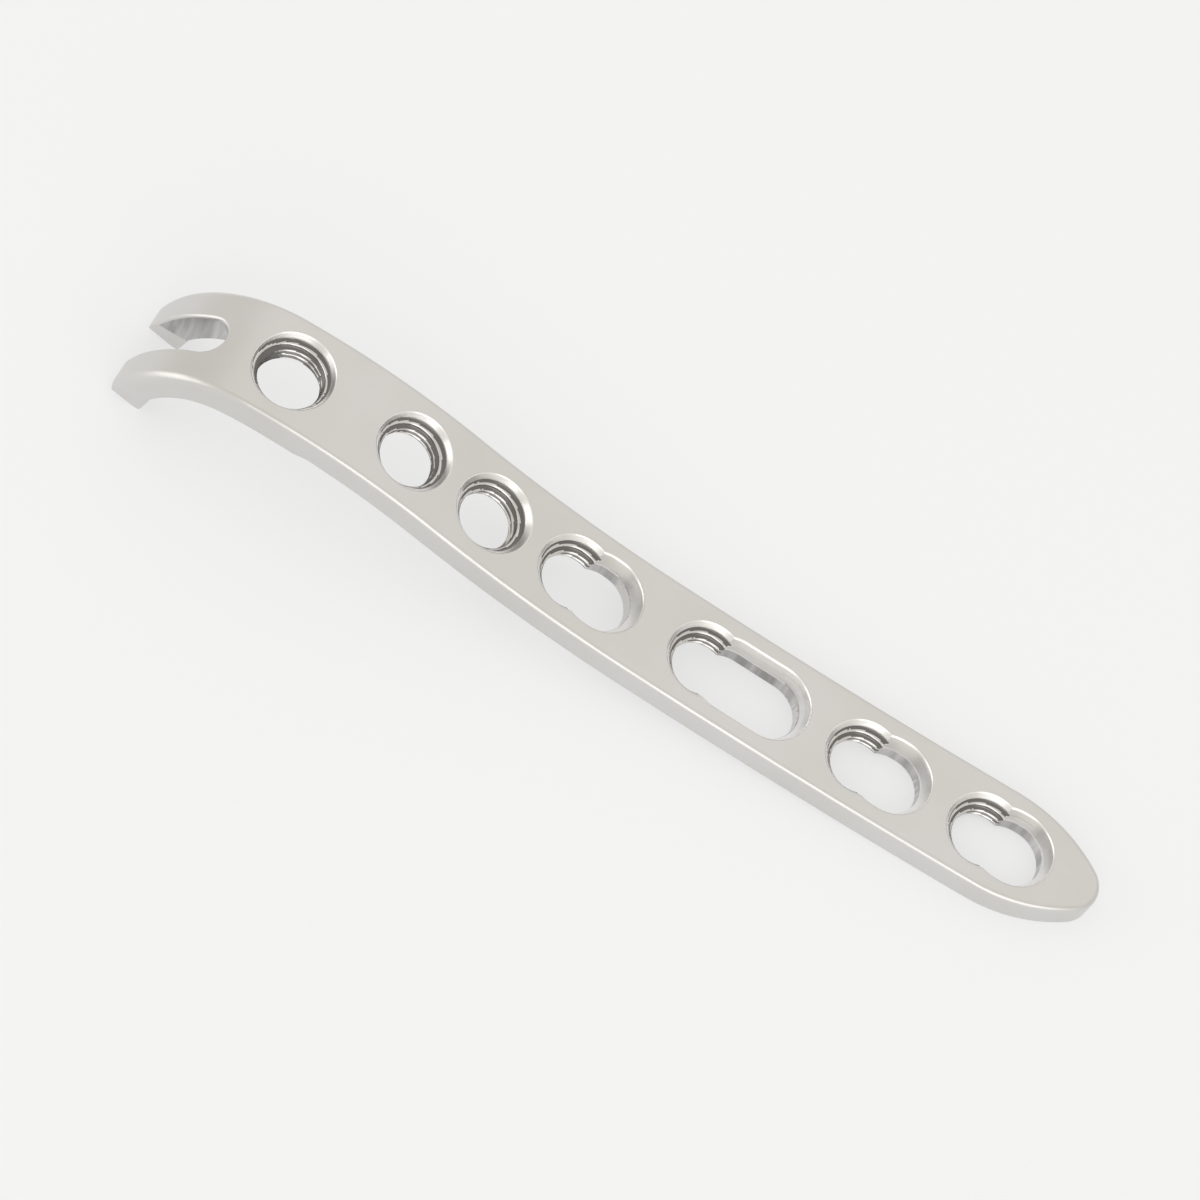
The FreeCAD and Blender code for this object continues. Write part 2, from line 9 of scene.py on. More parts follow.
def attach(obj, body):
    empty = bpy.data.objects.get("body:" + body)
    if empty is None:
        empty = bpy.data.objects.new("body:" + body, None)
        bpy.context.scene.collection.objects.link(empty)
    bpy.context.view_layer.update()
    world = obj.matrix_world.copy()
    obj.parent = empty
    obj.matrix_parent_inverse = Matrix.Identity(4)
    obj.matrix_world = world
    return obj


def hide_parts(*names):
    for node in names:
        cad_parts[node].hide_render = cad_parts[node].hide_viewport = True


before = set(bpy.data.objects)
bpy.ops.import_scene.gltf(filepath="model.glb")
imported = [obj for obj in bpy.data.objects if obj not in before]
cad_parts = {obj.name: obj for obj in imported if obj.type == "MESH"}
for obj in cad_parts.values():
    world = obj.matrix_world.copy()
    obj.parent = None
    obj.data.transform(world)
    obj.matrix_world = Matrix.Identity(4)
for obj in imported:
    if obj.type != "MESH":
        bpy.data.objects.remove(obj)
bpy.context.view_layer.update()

# Sizes of the plate in millimetres, the same as the solid's. Distances along the plate are
# measured on its top face, from the tip of the shaft towards the hooks.
LENGTH = 101.55
WIDTH = 11.25
THIN = 2.9
THICK = 3.25
SHAFT_RADIUS = 476.0
FLARE_RADIUS = 120.0
CREST_RADIUS = 66.0
HOOK_RADIUS = 12.9
HOOK_WRAP = math.radians(76.2)
INNER_WRAP = math.radians(65.0)
TOOTH_LENGTH = 2.4
FLAT_END = 8.137
FLARE_STATION = 47.6
CREST_STATION = 70.0
STEP_STATION = 82.6
STEP_RUN = 1.2
NOSE_RADIUS = 3.0
FLANK_RADIUS = 16.0
SLOT_RADIUS = 2.05
SLOT_STATION = 94.1
TOOTH_WIDTH = 2.4
TOOTH_BEVEL = 3.0
EDGE_RADIUS = 0.5
SLOT_EDGE_RADIUS = 0.3
UNDER_RADIUS = 0.2
HOOK_EDGE_RADIUS = 1.2
END_RADIUS = 0.4
RELIEF = 0.36
NOTCH_WRAP = math.radians(59.0)
THREAD_BORE = 2.75
THREAD_MOUTH = 3.875
CREST_BORE = 3.0
CREST_MOUTH = 4.05
GLIDE_RADIUS = 3.2
RAMP_RADIUS = 3.875
RAMP_DEPTH = 1.4
MOUTH_DEPTH = 1.65
EXIT_CHAMFER = 0.2
LOBE_OFFSET = 2.7
COMBI_TRAVEL = 0.4
LONG_TRAVEL = 4.4

# Threads: a groove's turns start just under the mouth and run out before the exit.
# Its flank and the land between turns are shares of the pitch and of the flank.
PITCH = 0.66
GROOVE = 0.30
FLANK = 0.36
LAND = 0.14
FIRST_TURN = 0.55
RUN_IN = 0.25
RUN_OUT = 0.2

# Rims: how far below the face a hole's mouth starts to flare, and the flare's levels above that
SCREW_RIM = 0.06
GLIDE_RIM = 0.1
RIM_LEVELS = [("rim", 0.05), ("rim", 0.12), ("rim", 0.5), ("over", 2.0)]

# Distances from the shaft's tip along X: the threaded holes, and each combination hole's
# threaded lobe with the travel of its plain lobe
CREST_HOLE = 87.5
PAIR = (74.5, 65.5)
COMBI = ((56.3, COMBI_TRAVEL), (42.1, LONG_TRAVEL),
         (25.0, COMBI_TRAVEL), (12.0, COMBI_TRAVEL))

MM = 0.001
HALF = LENGTH / 2
HALF_WIDTH = WIDTH / 2

# Places of the finishes in the plate's material list, among them a lighter copy of the steel
# that is a painted highlight and darker copies that are painted shade, the depth below which a
# hole's wall is thread, the share of a groove's depth at which its painted shade starts, and the
# depth down to which a face still counts as part of the top or of the underside
SATIN, CUT_LIT, GROOVE_SHADE, MILLED_SHADE, THREADED = range(5)
THREAD_START = 0.7
GROOVE_SHADE_SHARE = 0.35
TOP_SKIN = 0.03
UNDER_SKIN = 0.02


class TopLine:
    """The top face seen from the side: a chain of arcs, followed from the shaft's tip."""

    def __init__(self):
        rise = math.asin((FLARE_STATION - FLAT_END) / SHAFT_RADIUS)
        steep = math.asin(math.sin(rise) + (CREST_STATION - FLARE_STATION) / FLARE_RADIUS)
        crest_x = HALF - CREST_STATION - CREST_RADIUS * math.sin(steep)
        lean = (crest_x + HALF - HOOK_RADIUS * math.sin(HOOK_WRAP)) / (CREST_RADIUS - HOOK_RADIUS)
        brink = -math.asin(lean)
        self.pieces = []
        start = (0.0, HALF, THIN, 0.0)
        for bend, last in ((0.0, 0.0), (1 / SHAFT_RADIUS, rise), (1 / FLARE_RADIUS, steep),
                           (-1 / CREST_RADIUS, brink), (-1 / HOOK_RADIUS, -HOOK_WRAP)):
            s, x, z, heading = start
            run = FLAT_END if bend == 0 else (last - heading) / bend
            self.pieces.append((s, run, x, z, heading, bend))
            point, _, _ = self.piece_at(self.pieces[-1], np.array([s + run]))
            start = (s + run, point[0, 0], point[0, 1], last)
        self.length = start[0]
        self.crest_x = crest_x
        # A little way into the hooks' bend their relief and their wider edges start. Beyond the
        # notch the inner side runs down to a blunt tooth, whose sharp tip the end face meets.
        hook = self.pieces[-1]
        point, normal, tangent = self.at([hook[0] + (INNER_WRAP + hook[4]) * HOOK_RADIUS])
        tip = point[0] - normal[0] * THICK + tangent[0] * TOOTH_LENGTH
        self.relief_start = hook[0] - hook[4] * HOOK_RADIUS
        self.notch = hook[0] + (NOTCH_WRAP + hook[4]) * HOOK_RADIUS
        point, normal, _ = self.at([self.notch])
        start = point[0] - normal[0] * (THICK - RELIEF)
        before_end = np.array([1.0, 0.8, 0.6, 0.0])
        self.foot_marks = (self.notch, *(self.length - before_end))
        self.foot = np.array([start, tip + (0.62, 0.55), tip + (0.52, 0.16),
                              tip + (0.34, 0.03), tip])

    def piece_at(self, piece, s):
        s0, run, x, z, heading, bend = piece
        d = s - s0
        if bend == 0:
            angle = np.zeros_like(d)
            point = np.stack([x - d, np.full_like(d, z)], 1)
        else:
            angle = heading + d * bend
            point = np.stack([x - (np.sin(angle) - math.sin(heading)) / bend,
                              z - (np.cos(angle) - math.cos(heading)) / bend], 1)
        return point, np.stack([np.sin(angle), np.cos(angle)], 1), angle

    def at(self, s):
        """Points in X and Z, outward normals and tangents at distances along the line."""
        s = np.atleast_1d(np.asarray(s, float))
        inside = np.clip(s, 0, self.length)
        point = np.zeros((len(s), 2))
        normal = np.zeros((len(s), 2))
        for piece in self.pieces:
            chosen = inside >= piece[0] - 1e-9
            p, n, _ = self.piece_at(piece, inside[chosen])
            point[chosen], normal[chosen] = p, n
        tangent = np.stack([-normal[:, 1], normal[:, 0]], 1)
        return point + tangent * (s - inside)[:, None], normal, tangent

    def find(self, x):
        """The distance along the line at which it reaches an X, short of the hooks' overhang."""
        s = np.linspace(0, self.length, 20001)
        return float(np.interp(-x, -self.at(s)[0][:, 0], s))


top = TopLine()


def place(s, y, depth):
    """Points in space from distances along the plate, across it and below its top face."""
    point, normal, _ = top.at(s)
    flat = point - normal * np.asarray(depth)[:, None]
    return np.stack([flat[:, 0], y, flat[:, 1]], 1)


def place_blank(s, y, depth, thick):
    """Points of the plate itself, whose rings lean towards the tooth beyond the notch."""
    if s <= top.notch:
        return place(np.full(len(y), s), y, depth)
    point = top.at([s])[0][0]
    below = np.array([np.interp(s, top.foot_marks, top.foot[:, axis]) for axis in (0, 1)])
    flat = point + (below - point) * (depth / thick)[:, None]
    return np.stack([flat[:, 0], y, flat[:, 1]], 1)


def fillet(distance, radius):
    """How far a rounded edge falls below its face, at a distance in from the edge."""
    gap = np.clip(radius - distance, 0, radius)
    return radius - np.sqrt(np.maximum(radius ** 2 - gap ** 2, 0))


# The tip's outline: a nose arc that touches a flank arc on each side
BACK = math.sqrt((FLANK_RADIUS - NOSE_RADIUS) ** 2 - (FLANK_RADIUS - HALF_WIDTH) ** 2)
SHOULDER = NOSE_RADIUS + BACK
TOUCH = np.array([-BACK, FLANK_RADIUS - HALF_WIDTH]) / (FLANK_RADIUS - NOSE_RADIUS)


def half_width(s):
    """Half the plate's width at a distance from the tip."""
    if s >= SHOULDER:
        return HALF_WIDTH
    if s < NOSE_RADIUS * (1 + TOUCH[0]):
        return math.sqrt(max(NOSE_RADIUS ** 2 - (NOSE_RADIUS - s) ** 2, 0))
    return HALF_WIDTH - FLANK_RADIUS + math.sqrt(FLANK_RADIUS ** 2 - (SHOULDER - s) ** 2)


def inset(s, y):
    """How far a point of the top face lies in from the plate's outline."""
    y = np.abs(y)
    flank = FLANK_RADIUS - np.hypot(s - SHOULDER, y + FLANK_RADIUS - HALF_WIDTH)
    nose = NOSE_RADIUS - np.hypot(s - NOSE_RADIUS, y)
    on_nose = TOUCH[0] * y - TOUCH[1] * (s - NOSE_RADIUS) > 0
    near_tip = np.where(on_nose, nose, flank)
    return np.maximum(np.where(s >= SHOULDER, HALF_WIDTH - y, near_tip), 0)


def mesh_object(name, points, faces):
    """A mesh in metres from points in millimetres."""
    mesh = bpy.data.meshes.new(name)
    mesh.from_pydata([tuple(p) for p in np.asarray(points) * MM], [], faces)
    mesh.validate()
    made = bpy.data.objects.new(name, mesh)
    bpy.context.scene.collection.objects.link(made)
    return made


def grid_faces(rows, columns):
    """Quads between rings of points, each ring closed."""
    faces = []
    for row in range(rows - 1):
        for column in range(columns):
            follower = (column + 1) % columns
            faces.append((row * columns + column, row * columns + follower,
                          (row + 1) * columns + follower, (row + 1) * columns + column))
    return faces


def plate_depth(s):
    """The plate's thickness at distances along it, with the head's step and the hooks' relief."""
    low = HALF - STEP_STATION
    ends = []
    for x, depth in ((low, THIN), (low - STEP_RUN, THICK)):
        angle = math.asin((x - top.crest_x) / (CREST_RADIUS - depth))
        piece = top.pieces[3]
        ends.append(piece[0] + (angle - piece[4]) / piece[5])
    bend = np.clip((s - top.relief_start) / (0.6 * (top.notch - top.relief_start)), 0, 1)
    return np.interp(s, ends, (THIN, THICK)) - RELIEF * bend ** 2 * (3 - 2 * bend)


def build_blank():
    """The plate without its holes, as rings of points along it."""
    arc = np.radians(np.linspace(0, 90, 11))
    low_arc = np.radians(np.linspace(0, 90, 4))
    low_rim = 1 - UNDER_RADIUS / HALF_WIDTH * (1 - np.cos(low_arc))
    middle = np.linspace(low_rim[-1], -low_rim[-1], 21)[1:-1]
    under = np.concatenate([low_rim, middle, -low_rim[::-1]])
    wall = np.linspace(0, 1, 8)[1:-1]
    # Rings lie closer at the shaft's tip and at the hooks' rounded ends
    nose = SHOULDER * np.linspace(0.02, 1, 56) ** 2
    shaft = np.linspace(SHOULDER, top.length, 290)[1:]
    brink = top.length - END_RADIUS * (1 - np.cos(np.radians(np.linspace(80, 0, 7))))
    marks = (top.notch,) + top.foot_marks[1:-1]
    stations = np.sort(np.concatenate([nose, shaft[shaft < brink[0] - 0.05], brink, marks]))
    rings = []
    for s in stations:
        wide = half_width(s)
        thick = float(plate_depth(s))
        edge = float(np.interp(s, (top.relief_start, top.length - 2),
                               (EDGE_RADIUS, HOOK_EDGE_RADIUS)))
        rim = 1 - edge / HALF_WIDTH * (1 - np.cos(arc))
        across = np.concatenate([-rim, np.linspace(-rim[-1], rim[-1], 27)[1:-1], rim[::-1]])
        flank = np.full(len(wall), wide)
        y = np.concatenate([wide * across, flank, wide * under, -flank])
        ending = fillet(top.length - s, END_RADIUS)
        upper = np.maximum(fillet(inset(s, wide * across), edge), ending)
        lower = thick - fillet(inset(s, wide * under), UNDER_RADIUS)
        side = upper[-1] + (thick - UNDER_RADIUS - upper[-1]) * wall
        depth = np.concatenate([upper, side, lower, side[::-1]])
        rings.append(place_blank(s, y, depth, thick))
    columns = len(rings[0])
    faces = grid_faces(len(rings), columns)
    faces.append(tuple(range(columns))[::-1])
    final = (len(rings) - 1) * columns
    faces.append(tuple(range(final, final + columns)))
    return mesh_object("plate_visual", np.concatenate(rings), faces)


def stadium(reach, count):
    """Centres and outward directions round a slot's outline, as two half circles."""
    angles = np.linspace(-90, 90, count // 2)
    turn = np.radians(np.concatenate([angles, angles + 180]))
    middle = np.where(np.arange(len(turn)) < count // 2, reach, -reach)
    return middle, np.cos(turn), np.sin(turn), turn


def cutter(name, station, shift, travel, levels, radius_at, count=112):
    """A closed cutting tool square to the top face, centred at a shift from its station.

    For each level radius_at gives the tool's radius and height, from the turn round its axis
    and the height of the top face at a radius.
    """
    origin, normal, tangent = top.at([top.find(HALF - station)])
    out = np.array([-tangent[0][0], -tangent[0][1]])
    up = normal[0]
    near = np.linspace(-14, 14, 2001)
    curve = top.at(top.find(HALF - station) - near)[0] - origin[0]
    face_u, face_w = curve @ out, curve @ up
    if travel:
        middle, cos, sin, turn = stadium(travel / 2, count)
    else:
        turn = np.arange(count) * 2 * math.pi / count
        middle, cos, sin = np.zeros(count), np.cos(turn), np.sin(turn)

    def surface(radius):
        return np.interp(shift + middle + radius * cos, face_u, face_w)

    rings = []
    for level in levels:
        radius, height = radius_at(level, turn, surface)
        u = shift + middle + radius * cos
        v = radius * sin
        flat = origin[0] + u[:, None] * out + height[:, None] * up
        rings.append(np.stack([flat[:, 0], v, flat[:, 1]], 1))
    columns = len(rings[0])
    faces = grid_faces(len(rings), columns)
    faces.append(tuple(range(columns))[::-1])
    final = (len(rings) - 1) * columns
    faces.append(tuple(range(final, final + columns)))
    return mesh_object(name, np.concatenate(rings), faces)


def screw_tool(name, station, bore, mouth, thick):
    """A threaded hole's tool: broken exit, helical grooves, countersink and softened rim."""
    deep = -thick
    levels = [("flat", deep - 1.0), ("flat", deep - 0.02)]
    levels += [("flat", w) for w in np.arange(deep + EXIT_CHAMFER, -MOUTH_DEPTH - 0.001, 0.05)]
    levels += [("cone", q) for q in np.linspace(0, 1, 32)]
    levels += RIM_LEVELS
    slope = (mouth - bore) / MOUTH_DEPTH

    def groove(turn, height):
        phase = (height / PITCH - turn / (2 * math.pi)) % 1.0
        shape = np.clip((0.5 - np.abs(phase - 0.5)) / FLANK - LAND, 0, 1)
        start = np.clip((-FIRST_TURN - height) / RUN_IN, 0, 1)
        return GROOVE * shape * start * np.clip((height - deep) / RUN_OUT, 0, 1)

    def radius_at(level, turn, surface):
        kind, value = level
        edge = surface(np.full(len(turn), mouth)) - SCREW_RIM
        brim = mouth + edge * slope
        if kind == "flat":
            height = np.full(len(turn), value)
            if value < deep + EXIT_CHAMFER:
                return np.full(len(turn), bore + EXIT_CHAMFER + deep - value), height
            return bore + groove(turn, height), height
        if kind == "cone":
            height = -MOUTH_DEPTH + (edge + MOUTH_DEPTH) * value
            return mouth + height * slope + groove(turn, height), height
        if kind == "rim":
            return brim + value * 1.4, edge + value
        return brim + 1.2, edge + value

    return cutter(name, station, 0.0, 0.0, levels, radius_at)


def glide_tool(name, station, travel):
    """A sliding lobe's tool: straight walls under a ramp that opens towards the top."""
    levels = [("flat", -THIN - 1.0), ("flat", -THIN - 0.02), ("flat", -THIN + 0.15)]
    levels += [("flat", w) for w in np.linspace(-THIN + 0.3, -RAMP_DEPTH - 0.08, 5)]
    levels += [("cone", q) for q in np.linspace(0, 1, 12)]
    levels += RIM_LEVELS

    def radius_at(level, turn, surface):
        kind, value = level
        slope = (RAMP_RADIUS - GLIDE_RADIUS) / RAMP_DEPTH
        edge = surface(np.full(len(turn), RAMP_RADIUS)) - GLIDE_RIM
        brim = RAMP_RADIUS + edge * slope
        if kind == "flat":
            lift = np.clip(-THIN + 0.15 - value, 0, 1)
            return np.full(len(turn), GLIDE_RADIUS + lift), np.full(len(turn), value)
        if kind == "cone":
            height = -RAMP_DEPTH + (edge + RAMP_DEPTH) * value
            return RAMP_RADIUS + height * slope, height
        if kind == "rim":
            return brim + value * 1.3, edge + value
        return brim + 1.0, edge + value

    back = LOBE_OFFSET + travel / 2
    return cutter(name, station, back, travel, levels, radius_at)


def slot_tool():
    """The tool for the slot between the hooks, with softened upper edges."""
    centre = top.find(HALF - SLOT_STATION - SLOT_RADIUS)
    bend = np.radians(np.linspace(0, 90, 25))
    run = np.linspace(centre, top.length + 3.0, 90)[1:]
    arc = np.radians(np.linspace(0, 70, 6))
    profile = [(SLOT_RADIUS, 6.0), (SLOT_RADIUS, 2.0)]
    profile += [(SLOT_RADIUS + SLOT_EDGE_RADIUS * (1 - math.cos(a)),
                 SLOT_EDGE_RADIUS * (1 - math.sin(a))) for a in arc]
    side, depth = profile[-1]
    flare = side + 0.3 * math.tan(arc[-1])
    profile += [(flare, depth - 0.3), (flare, -2.0)]
    points = []
    for radius, depth in profile:
        s = np.concatenate([centre - radius * np.cos(bend), run])
        y = np.concatenate([radius * np.sin(bend), np.full(len(run), radius)])
        y[0] = 0.0
        right = place(s, y, np.full(len(s), depth))
        left = right[1:] * np.array([1, -1, 1])
        points.append(np.concatenate([left[::-1], right]))
    columns = len(points[0])
    middle = len(right) - 1
    faces = []
    for row in range(len(profile) - 1):
        for column in range(columns - 1):
            faces.append((row * columns + column, row * columns + column + 1,
                          (row + 1) * columns + column + 1, (row + 1) * columns + column))
        faces.append((row * columns + columns - 1, row * columns,
                      (row + 1) * columns, (row + 1) * columns + columns - 1))
    for row, flip in ((0, False), (len(profile) - 1, True)):
        base = row * columns + middle
        for step in range(middle):
            quad = [base + step, base + step + 1, base - step - 1, base - step]
            if step == 0:
                quad = [base, base + 1, base - 1]
            faces.append(tuple(quad[::-1]) if flip else tuple(quad))
    return mesh_object("slot_tool", np.concatenate(points), faces)


def tooth_tools():
    """Four wedges that bevel both sides of each hook's end into a tooth."""
    middle = (HALF_WIDTH + SLOT_RADIUS) / 2
    tools = []
    for number, (wall, tooth, far) in enumerate((
            (HALF_WIDTH, middle + TOOTH_WIDTH / 2, HALF_WIDTH + 1),
            (SLOT_RADIUS, middle - TOOTH_WIDTH / 2, SLOT_RADIUS - 1))):
        for side in (1, -1):
            outline = [(side * wall, TOOTH_BEVEL), (side * tooth, 0), (side * tooth, -1),
                       (side * far, -1), (side * far, TOOTH_BEVEL)]
            points = [(x, y, z) for x in (-HALF - 3, -HALF + HOOK_RADIUS / 2) for y, z in outline]
            faces = [(0, 1, 2, 3, 4), (9, 8, 7, 6, 5)]
            faces += [(i, 5 + i, 5 + (i + 1) % 5, (i + 1) % 5) for i in range(5)]
            tools.append(mesh_object("tooth_tool_%d_%d" % (number, side), points, faces))
    return tools


def face_outward(target):
    """Turns a closed mesh's faces outward."""
    work = bmesh.new()
    work.from_mesh(target.data)
    bmesh.ops.recalc_face_normals(work, faces=work.faces)
    work.to_mesh(target.data)
    work.free()


def subtract(target, tools):
    """Cuts the tools out of the target one after the other and removes them."""
    face_outward(target)
    for tool in tools:
        face_outward(tool)
        cut = target.modifiers.new(tool.name, "BOOLEAN")
        cut.operation = "DIFFERENCE"
        cut.solver = "MANIFOLD"
        cut.object = tool
    bpy.context.view_layer.update()
    graph = bpy.context.evaluated_depsgraph_get()
    solid = bpy.data.meshes.new_from_object(target.evaluated_get(graph))
    target.modifiers.clear()
    old = target.data
    target.data = solid
    bpy.data.meshes.remove(old)
    for tool in tools:
        data = tool.data
        bpy.data.objects.remove(tool)
        bpy.data.meshes.remove(data)


plate = build_blank()
tools = [slot_tool()] + tooth_tools()
tools.append(screw_tool("crest_tool", CREST_HOLE, CREST_BORE, CREST_MOUTH, THICK))
for number, station in enumerate(PAIR):
    tools.append(screw_tool("pair_tool_%d" % number, station, THREAD_BORE, THREAD_MOUTH, THIN))
for number, (station, travel) in enumerate(COMBI):
    tools.append(screw_tool("lock_tool_%d" % number, station, THREAD_BORE, THREAD_MOUTH, THIN))
    tools.append(glide_tool("glide_tool_%d" % number, station, travel))
subtract(plate, tools)
plate.data.name = "plate_visual"


def shade_smooth(target, angle):
    """Smooth shading that keeps edges sharper than an angle."""
    target.data.shade_smooth()
    target.data.set_sharp_from_angle(angle=math.radians(angle))


shade_smooth(plate, 32)

# Materials


def node(tree, kind, spot, **settings):
    """A new shader node at a spot of the node sheet."""
    made = tree.nodes.new(kind)
    made.location = spot
    for name, value in settings.items():
        setattr(made, name, value)
    return made


def steel(name, colour, roughness, spread, bump, marks=(60, 1500, 1500), low=0.94,
          streaked=False):
    """Steel with fine tool or polishing marks, cloudy or streaked colour and broken edges."""
    material = bpy.data.materials.new(name)
    material.use_nodes = True
    tree = material.node_tree
    tree.nodes.clear()
    output = node(tree, "ShaderNodeOutputMaterial", (900, 0))
    shader = node(tree, "ShaderNodeBsdfPrincipled", (600, 0))
    shader.inputs["Metallic"].default_value = 1.0
    position = node(tree, "ShaderNodeTexCoord", (-1100, 0))
    stretch = node(tree, "ShaderNodeMapping", (-900, -200))
    stretch.inputs["Scale"].default_value = marks
    grain = node(tree, "ShaderNodeTexNoise", (-650, -200))
    grain.inputs["Scale"].default_value = 2.0
    grain.inputs["Detail"].default_value = 4.0
    cloud = node(tree, "ShaderNodeTexNoise", (-650, 200))
    cloud.inputs["Scale"].default_value = 90.0
    cloud.inputs["Detail"].default_value = 3.0
    tint = node(tree, "ShaderNodeValToRGB", (-350, 250))
    tint.color_ramp.elements[0].position = 0.3
    red, green, blue = colour
    tint.color_ramp.elements[0].color = (red * low, green * low, blue * low * 0.98, 1)
    tint.color_ramp.elements[1].position = 0.7
    tint.color_ramp.elements[1].color = (*colour, 1)
    rough = node(tree, "ShaderNodeMapRange", (-350, -50))
    rough.inputs["To Min"].default_value = roughness - spread
    rough.inputs["To Max"].default_value = roughness + spread
    lift = node(tree, "ShaderNodeBump", (300, -300))
    lift.inputs["Strength"].default_value = bump
    lift.inputs["Distance"].default_value = 0.00002
    edge = node(tree, "ShaderNodeBevel", (0, -400), samples=4)
    edge.inputs["Radius"].default_value = 0.00007
    link = tree.links.new
    link(position.outputs["Object"], stretch.inputs["Vector"])
    pattern = stretch.outputs["Vector"] if streaked else position.outputs["Object"]
    link(pattern, cloud.inputs["Vector"])
    link(stretch.outputs["Vector"], grain.inputs["Vector"])
    link(cloud.outputs["Fac"], tint.inputs["Fac"])
    link(tint.outputs["Color"], shader.inputs["Base Color"])
    link(grain.outputs["Fac"], rough.inputs["Value"])
    link(rough.outputs["Result"], shader.inputs["Roughness"])
    link(grain.outputs["Fac"], lift.inputs["Height"])
    link(edge.outputs["Normal"], lift.inputs["Normal"])
    link(lift.outputs["Normal"], shader.inputs["Normal"])
    link(shader.outputs["BSDF"], output.inputs["Surface"])
    return material


# Turned walls carry marks round their axis. The cut cones and ramps get a lighter copy of the
# steel as a painted highlight, the thread grooves a dark copy as painted shade, and the straight
# walls a copy with streaks up and down, whose dark streaks of colour are painted shade and
# painted reflections
TURNED = (50, 50, 1600)
satin = steel("satin_steel", (0.715, 0.706, 0.694), 0.34, 0.08, 0.45)
# Lighter copy of the steel for the cut cones and ramps: a painted highlight
lit_cut_steel = steel("cut_steel_painted_highlight", (0.94, 0.93, 0.92), 0.30, 0.08, 0.5, marks=TURNED)
# Dark copy of the steel for the thread grooves: painted shade in the recesses
groove_shade = steel("groove_steel_painted_shade", (0.20, 0.195, 0.19), 0.28, 0.06, 0.15, low=0.85)
thread_finish = steel("thread_steel", (0.74, 0.73, 0.72), 0.22, 0.06, 0.4, marks=TURNED)
# Darker copy with dark streaks up and down for the straight walls: painted shade and painted
# reflections
milled_shade = steel("milled_steel_painted_shade", (0.70, 0.69, 0.68), 0.30, 0.06, 0.3, marks=(9, 9, 1), low=0.45,
               streaked=True)
plate.data.materials.clear()
for finish in (satin, lit_cut_steel, groove_shade, milled_shade, thread_finish):
    plate.data.materials.append(finish)


def finish_faces(target):
    """Gives the hole walls, the thread grooves and the slot their own finishes: a lighter copy of
    the steel as a painted highlight on the cones and ramps, a dark copy as painted shade in the
    grooves, and a darker streaked copy as painted shade and painted reflections on the straight
    walls.
    """
    mesh = target.data
    count = len(mesh.polygons)
    centres = np.zeros(count * 3)
    mesh.polygons.foreach_get("center", centres)
    centres = centres.reshape(-1, 3) / MM
    s = np.linspace(0, top.length, 3001)
    line, normals, _ = top.at(s)
    index = np.zeros(count, int)
    for step in range(0, count, 4000):
        part = centres[step:step + 4000]
        across, rise = (part[:, None, axis] - line[None, :, column]
                        for axis, column in ((0, 0), (2, 1)))
        index[step:step + 4000] = (across ** 2 + rise ** 2).argmin(1)
    flat = centres[:, [0, 2]] - line[index]
    depth = -(flat * normals[index]).sum(1)
    away = s[index]
    finish = np.full(count, SATIN, np.int32)
    thick = plate_depth(away)
    inner = (depth > TOP_SKIN) & (depth < thick - UNDER_SKIN)
    holes = [(CREST_HOLE, None, CREST_BORE, CREST_MOUTH)]
    holes += [(station, None, THREAD_BORE, THREAD_MOUTH) for station in PAIR]
    holes += [(station, travel, THREAD_BORE, THREAD_MOUTH) for station, travel in COMBI]
    for station, travel, bore, mouth in holes:
        middle = top.find(HALF - station)
        gap = np.hypot(middle - away, centres[:, 1])
        wall = np.maximum(bore, mouth - depth * (mouth - bore) / MOUTH_DEPTH)
        threaded = inner & (gap < mouth + 0.05)
        if travel is not None:
            behind = middle - away - LOBE_OFFSET
            glide = np.hypot(behind - np.clip(behind, 0, travel), centres[:, 1])
            lobe = inner & (glide < RAMP_RADIUS + 0.05) & (glide > GLIDE_RADIUS - 0.03)
            # Ramps get the lighter copy (painted highlight), the walls under them the darker
            # streaked copy (painted shade and painted reflections)
            finish[lobe] = np.where(depth[lobe] < RAMP_DEPTH, CUT_LIT, MILLED_SHADE)
            narrowing = (RAMP_RADIUS - GLIDE_RADIUS) / RAMP_DEPTH
            threaded &= glide > RAMP_RADIUS - np.minimum(depth, RAMP_DEPTH) * narrowing + 0.03
        # The mouth above a thread gets the lighter copy of the steel, a painted highlight
        crest = np.where(depth[threaded] > THREAD_START, THREADED, CUT_LIT)
        # Faces deep in a groove get the dark copy of the steel: painted shade
        in_groove_shade = gap[threaded] > wall[threaded] + GROOVE_SHADE_SHARE * GROOVE
        finish[threaded] = np.where(in_groove_shade, GROOVE_SHADE, crest)
    slot = np.abs(centres[:, 1]) < SLOT_RADIUS + 0.03
    slot &= away > top.find(HALF - SLOT_STATION) - 0.1
    # The slot's walls get the darker streaked copy: painted shade and painted reflections
    finish[slot & (depth > SLOT_EDGE_RADIUS) & (depth < thick - UNDER_SKIN)] = MILLED_SHADE
    mesh.polygons.foreach_set("material_index", finish)


finish_faces(plate)
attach(plate, "root")
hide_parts("hook_plate")

# Floor, backdrop and light. The floor's glow is what the camera and reflections see of it
# besides its own lit colour, which keeps the shadow.
FLOOR_GLOW = 0.56
BACKDROP = 0.91
SKY = 0.8

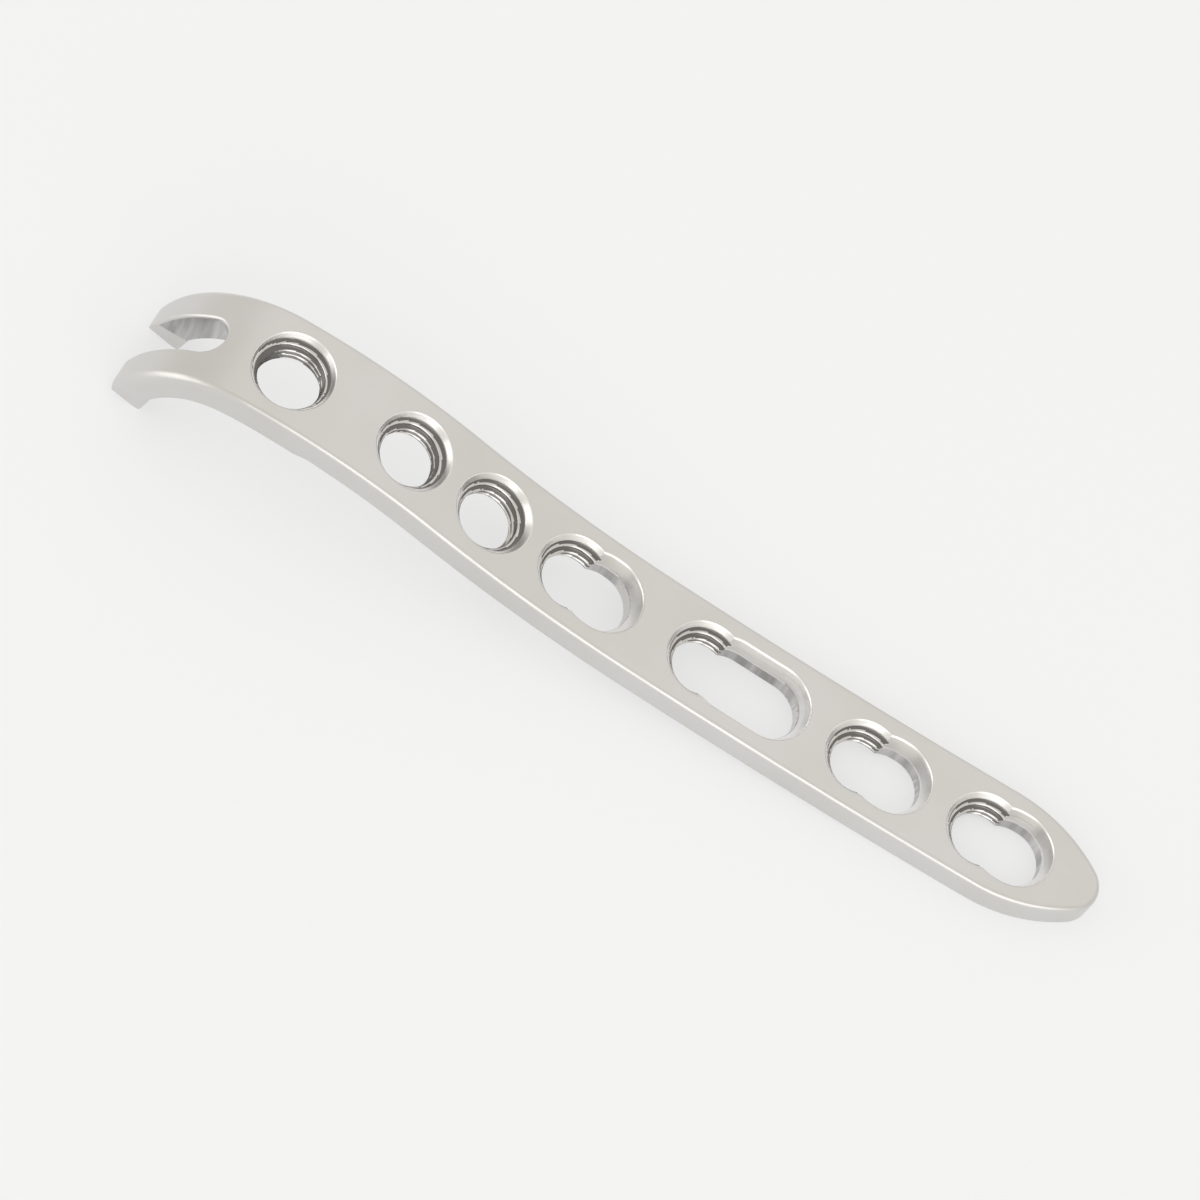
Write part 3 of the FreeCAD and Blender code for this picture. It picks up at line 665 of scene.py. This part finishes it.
floor_mesh = bpy.data.meshes.new("floor")
floor_mesh.from_pydata([(-3, -3, 0), (3, -3, 0), (3, 3, 0), (-3, 3, 0)], [], [(0, 1, 2, 3)])
floor = bpy.data.objects.new("floor", floor_mesh)
bpy.context.scene.collection.objects.link(floor)
paper = bpy.data.materials.new("paper")
paper.use_nodes = True
tree = paper.node_tree
tree.nodes.clear()
paper_out = node(tree, "ShaderNodeOutputMaterial", (600, 0))
matte = node(tree, "ShaderNodeBsdfDiffuse", (0, 100))
matte.inputs["Color"].default_value = (0.36, 0.365, 0.372, 1)
glow = node(tree, "ShaderNodeEmission", (0, -100))
glow.inputs["Color"].default_value = (1, 1, 1, 1)
paths = node(tree, "ShaderNodeLightPath", (-400, -200))
seen = node(tree, "ShaderNodeMath", (-200, -200), operation="MAXIMUM")
share = node(tree, "ShaderNodeMath", (-100, -200), operation="MULTIPLY")
share.inputs[1].default_value = FLOOR_GLOW
both = node(tree, "ShaderNodeAddShader", (300, 0))
tree.links.new(paths.outputs["Is Camera Ray"], seen.inputs[0])
tree.links.new(paths.outputs["Is Glossy Ray"], seen.inputs[1])
tree.links.new(seen.outputs[0], share.inputs[0])
tree.links.new(share.outputs[0], glow.inputs["Strength"])
tree.links.new(matte.outputs[0], both.inputs[0])
tree.links.new(glow.outputs[0], both.inputs[1])
tree.links.new(both.outputs[0], paper_out.inputs["Surface"])
floor_mesh.materials.append(paper)

world = bpy.data.worlds.new("studio")
bpy.context.scene.world = world
world.use_nodes = True
sky = world.node_tree.nodes["Background"]
sky.inputs["Color"].default_value = (1.0, 0.97, 0.93, 1)
sky.inputs["Strength"].default_value = SKY
backdrop = node(world.node_tree, "ShaderNodeBackground", (0, -200))
backdrop.inputs["Color"].default_value = (BACKDROP, BACKDROP, BACKDROP, 1)
pick = node(world.node_tree, "ShaderNodeMixShader", (300, 0))
looked_at = node(world.node_tree, "ShaderNodeLightPath", (0, 300))
world.node_tree.links.new(looked_at.outputs["Is Camera Ray"], pick.inputs[0])
world.node_tree.links.new(sky.outputs[0], pick.inputs[1])
world.node_tree.links.new(backdrop.outputs[0], pick.inputs[2])
world.node_tree.links.new(pick.outputs[0], world.node_tree.nodes["World Output"].inputs["Surface"])


def softbox(name, spot, aim, size, power):
    """A rectangular area lamp that faces a point."""
    data = bpy.data.lights.new(name, "AREA")
    data.shape = "RECTANGLE"
    data.size, data.size_y = size
    data.energy = power
    lamp = bpy.data.objects.new(name, data)
    lamp.location = spot
    lamp.rotation_mode = "QUATERNION"
    lamp.rotation_quaternion = (Vector(aim) - Vector(spot)).to_track_quat("-Z", "Y")
    bpy.context.scene.collection.objects.link(lamp)


softbox("overhead", (0.0, 0.6, 1.0), (0, 0, 0), (1.4, 1.0), 0.6)
softbox("front", (0.4, -0.85, 0.55), (0, 0, 0), (1.2, 0.8), 2.8)
softbox("side", (-0.95, -0.4, 0.3), (0, 0, 0), (0.9, 0.6), 1.5)

# Camera, at the photograph's viewing angle: lens and spot in millimetres
SENSOR = 36.0
LENS = 141.18
CAMERA_SPOT = Vector((-14.373, -229.494, 366.447)) * MM
AHEAD = (0.02777, 0.5344, -0.84477)
UPWARD = (-0.50415, 0.73723, 0.4498)

camera_data = bpy.data.cameras.new("camera")
camera_data.sensor_width = SENSOR
camera_data.lens = LENS
camera_data.clip_start, camera_data.clip_end = 0.01, 20.0
camera = bpy.data.objects.new("camera", camera_data)
bpy.context.scene.collection.objects.link(camera)
ahead = Vector(AHEAD).normalized()
right = ahead.cross(Vector(UPWARD)).normalized()
turned = Matrix((right, right.cross(ahead), -ahead)).transposed().to_4x4()
camera.matrix_world = Matrix.Translation(CAMERA_SPOT) @ turned
bpy.context.scene.camera = camera
bpy.context.scene.view_settings.view_transform = "Standard"
